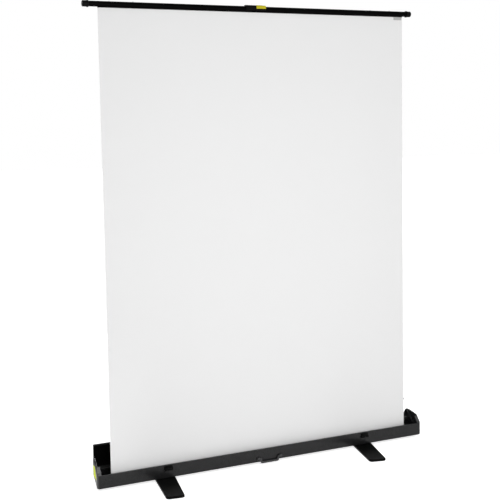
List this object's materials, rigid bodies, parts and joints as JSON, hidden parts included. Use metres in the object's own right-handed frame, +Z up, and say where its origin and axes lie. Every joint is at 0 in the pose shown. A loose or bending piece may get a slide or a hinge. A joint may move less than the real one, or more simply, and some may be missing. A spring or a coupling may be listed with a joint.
{
  "type": "pull-up projection screen",
  "caption": "Portable pull-up projection screen: white portrait sheet on a top bar, drawn from a low case with hinged lid and held by a folding arm frame on turning feet.",
  "frame": {"origin": "on the floor under the middle of the case, on the line between the two foot pivots", "axes": "+Z up, +X along the case to the viewer's right, -Y to the viewer in front of the sheet"},
  "size_m": [1.644, 0.5378, 2.0965],
  "materials": {
    "tray_metal": "satin",
    "panel_metal": "satin",
    "cap_plastic": "satin",
    "lid_metal": "satin",
    "black_plastic": "satin",
    "steel": "satin",
    "bar_metal": "satin",
    "arm_metal": "satin",
    "foot_metal": "satin",
    "pad_rubber": "matte",
    "nylon": "satin",
    "sheet_fabric": "matte"
  },
  "bodies": {
    "base": {"base_bracket_left": "tray_metal", "base_bracket_right": "tray_metal", "base_pivot_pins": "steel", "base_tray": "tray_metal", "carry_handle_lugs": "black_plastic", "end_cap_left": "cap_plastic", "end_cap_right": "cap_plastic", "end_cap_screws": "steel", "foot_bolts": "steel", "foot_nuts": "steel", "foot_washers": "nylon", "front_panel": "panel_metal", "latch_mounts": "black_plastic", "latch_pins": "steel", "lid_hinge_case_leaf": "tray_metal", "lid_hinge_pin": "steel", "roller_arbor": "steel", "roller_brackets": "tray_metal", "roller_idler_pin": "steel", "roller_spring": "steel", "screen_sheet": "sheet_fabric"},
    "lid": {"lid": "lid_metal", "lid_keepers": "steel", "lid_hinge_lid_leaf": "tray_metal"},
    "latch_left": {"latch_flap_left": "black_plastic"},
    "latch_right": {"latch_flap_right": "black_plastic"},
    "carry_handle": {"carry_handle": "black_plastic"},
    "foot_left": {"foot_left": "foot_metal", "foot_pads_left": "pad_rubber"},
    "foot_right": {"foot_right": "foot_metal", "foot_pads_right": "pad_rubber"},
    "roller": {"roller_tube": "arm_metal", "fabric_wrap": "sheet_fabric", "roller_plugs": "black_plastic"},
    "lower_arm_left": {"lower_arm_left": "arm_metal", "lower_arm_ends_left": "black_plastic", "elbow_pin_left": "steel", "elbow_washer_left": "nylon", "lift_bush_left": "black_plastic", "lift_spring_left": "steel"},
    "lower_arm_right": {"lower_arm_right": "arm_metal", "lower_arm_ends_right": "black_plastic", "elbow_pin_right": "steel", "elbow_washer_right": "nylon", "lift_bush_right": "black_plastic", "lift_spring_right": "steel"},
    "upper_arm_left": {"upper_arm_left": "arm_metal", "upper_arm_ends_left": "black_plastic"},
    "upper_arm_right": {"upper_arm_right": "arm_metal", "upper_arm_ends_right": "black_plastic"},
    "top_bar": {"top_bar": "bar_metal", "hem_strip": "black_plastic", "bar_end_left": "black_plastic", "bar_end_right": "black_plastic", "lift_handle": "black_plastic", "bar_bracket_left": "black_plastic", "bar_bracket_right": "black_plastic", "bar_bracket_screws": "steel", "bar_pivot_pins": "steel"}
  },
  "joints": [
    {"name": "lid_hinge", "type": "hinge", "parent": "base", "child": "lid", "pos_m": [0, 0.0555, 0.072], "axis": [1, 0, 0], "range_deg": [0, 8]},
    {"name": "latch_left_hinge", "type": "hinge", "parent": "base", "child": "latch_left", "pos_m": [-0.5, -0.0546, 0.049], "axis": [1, 0, 0], "range_deg": [0, 75]},
    {"name": "latch_right_hinge", "type": "hinge", "parent": "base", "child": "latch_right", "pos_m": [0.5, -0.0546, 0.049], "axis": [1, 0, 0], "range_deg": [0, 75]},
    {"name": "carry_handle_hinge", "type": "hinge", "parent": "base", "child": "carry_handle", "pos_m": [-0.008, -0.0552, 0.03], "axis": [1, 0, 0], "range_deg": [-100, 0]},
    {"name": "foot_left_turn", "type": "hinge", "parent": "base", "child": "foot_left", "pos_m": [-0.505, 0, 0.0065], "axis": [0, 0, 1], "range_deg": [-82, 8]},
    {"name": "foot_right_turn", "type": "hinge", "parent": "base", "child": "foot_right", "pos_m": [0.505, 0, 0.0065], "axis": [0, 0, 1], "range_deg": [-78, 12]},
    {"name": "fold", "type": "hinge", "parent": "base", "child": "lower_arm_left", "pos_m": [-0.647, 0.003, 0.042], "axis": [0, 1, 0], "range_deg": [0, 56.12], "deforming": ["screen_sheet"]},
    {"name": "fold_lower_right", "type": "hinge", "parent": "base", "child": "lower_arm_right", "pos_m": [0.627, 0.0345, 0.042], "axis": [0, 1, 0], "range_deg": [-56.14, 0]},
    {"name": "elbow_left", "type": "hinge", "parent": "lower_arm_left", "child": "upper_arm_left", "pos_m": [0.017, 0.00825, 1.051], "axis": [0, 1, 0], "range_deg": [-112.28, 0]},
    {"name": "elbow_right", "type": "hinge", "parent": "lower_arm_right", "child": "upper_arm_right", "pos_m": [-0.037, 0.02925, 1.051], "axis": [0, 1, 0], "range_deg": [0, 112.28]},
    {"name": "bar_pivot", "type": "hinge", "parent": "upper_arm_left", "child": "top_bar", "pos_m": [-0.647, 0.0135, 2.06], "axis": [0, 1, 0], "range_deg": [0, 56.14]},
    {"name": "roller_turn", "type": "hinge", "parent": "base", "child": "roller", "pos_m": [0, -0.02625, 0.04], "axis": [1, 0, 0], "range_deg": [-6560, 0]}
  ],
  "couplings": [
    {"joint": "fold_lower_right", "follows": "fold", "ratio": -1},
    {"joint": "elbow_left", "follows": "fold", "ratio": -2},
    {"joint": "elbow_right", "follows": "fold", "ratio": 2},
    {"joint": "bar_pivot", "follows": "fold", "ratio": 1},
    {"joint": "roller_turn", "follows": "fold", "ratio": -116.6}
  ]
}
